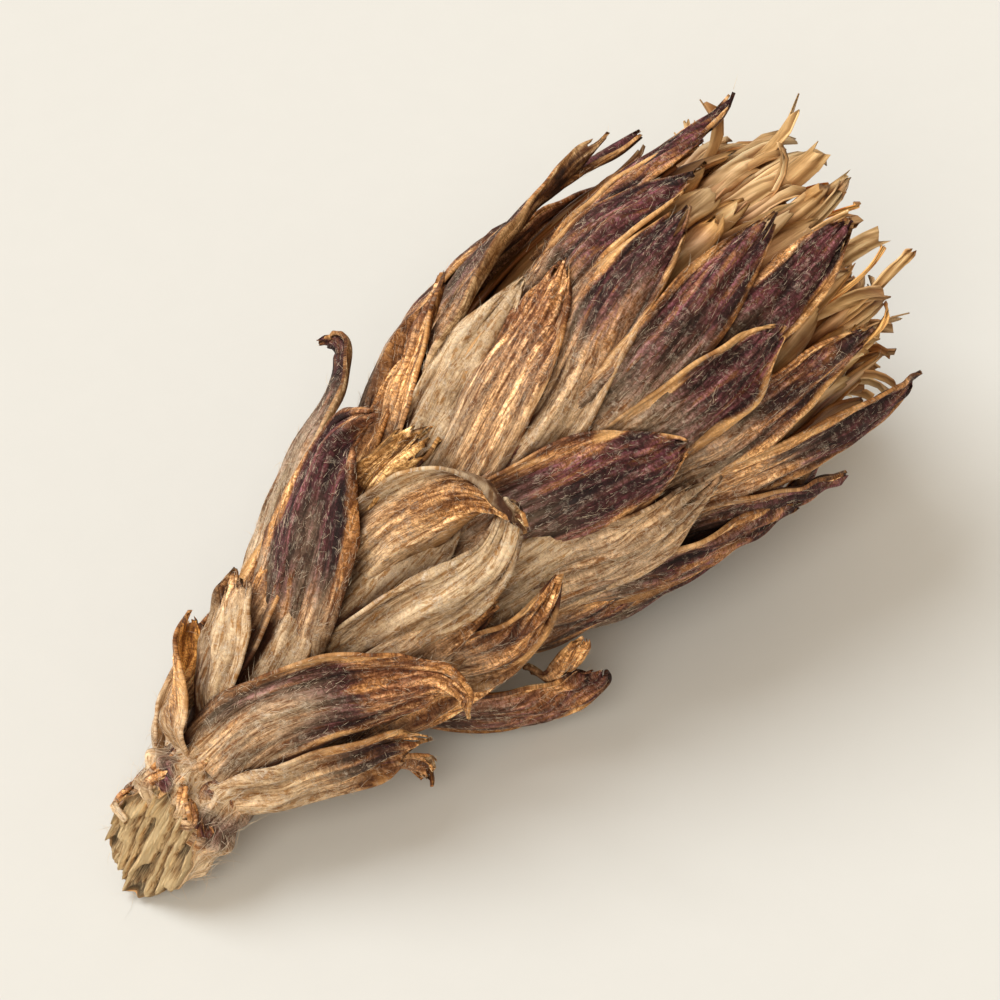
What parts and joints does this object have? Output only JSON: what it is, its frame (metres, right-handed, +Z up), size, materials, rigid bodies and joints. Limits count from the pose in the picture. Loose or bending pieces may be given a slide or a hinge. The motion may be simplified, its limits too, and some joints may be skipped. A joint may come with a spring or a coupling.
{
  "type": "dried coltsfoot flower bud",
  "caption": "Dried coltsfoot flower bud lying on its side: a cut stalk with clasping scale leaves, a scaly head and a tuft of shrivelled florets.",
  "frame": {"origin": "centre of the footprint of the bud's bounding box, on the surface that it lies on", "axes": "+X along the bud from the cut stalk to the head's tip, +Z up, +Y to the left seen from the stalk"},
  "size_m": [0.025, 0.0102, 0.0103],
  "materials": {
    "dry_straw": "dry, fibrous and matt",
    "dry_brown_leaf": "dry, ribbed and matt, felted with pale hairs near the base",
    "dusky_purple_leaf": "dry, ribbed and matt with a faint sheen and pale hairs",
    "golden_tan_strap": "thin, papery and slightly translucent",
    "pale_tan_tube": "thin, papery and matt"
  },
  "bodies": {
    "root": {"stalk": "dry_straw", "scale_leaf_01": "dry_brown_leaf", "scale_leaf_02": "dry_brown_leaf", "scale_leaf_03": "dry_brown_leaf", "scale_leaf_04": "dry_brown_leaf", "scale_leaf_05": "dry_brown_leaf", "scale_leaf_06": "dry_brown_leaf", "scale_leaf_07": "dry_brown_leaf", "scale_leaf_08": "dry_brown_leaf", "scale_leaf_09": "dry_brown_leaf", "scale_leaf_10": "dry_brown_leaf", "scale_leaf_11": "dry_brown_leaf", "scale_leaf_12": "dry_brown_leaf", "scale_leaf_13": "dry_brown_leaf", "scale_leaf_14": "dry_brown_leaf", "scale_leaf_15": "dry_brown_leaf", "involucre": "dusky_purple_leaf", "ray_florets": "golden_tan_strap", "disc_florets": "pale_tan_tube"}
  },
  "joints": []
}
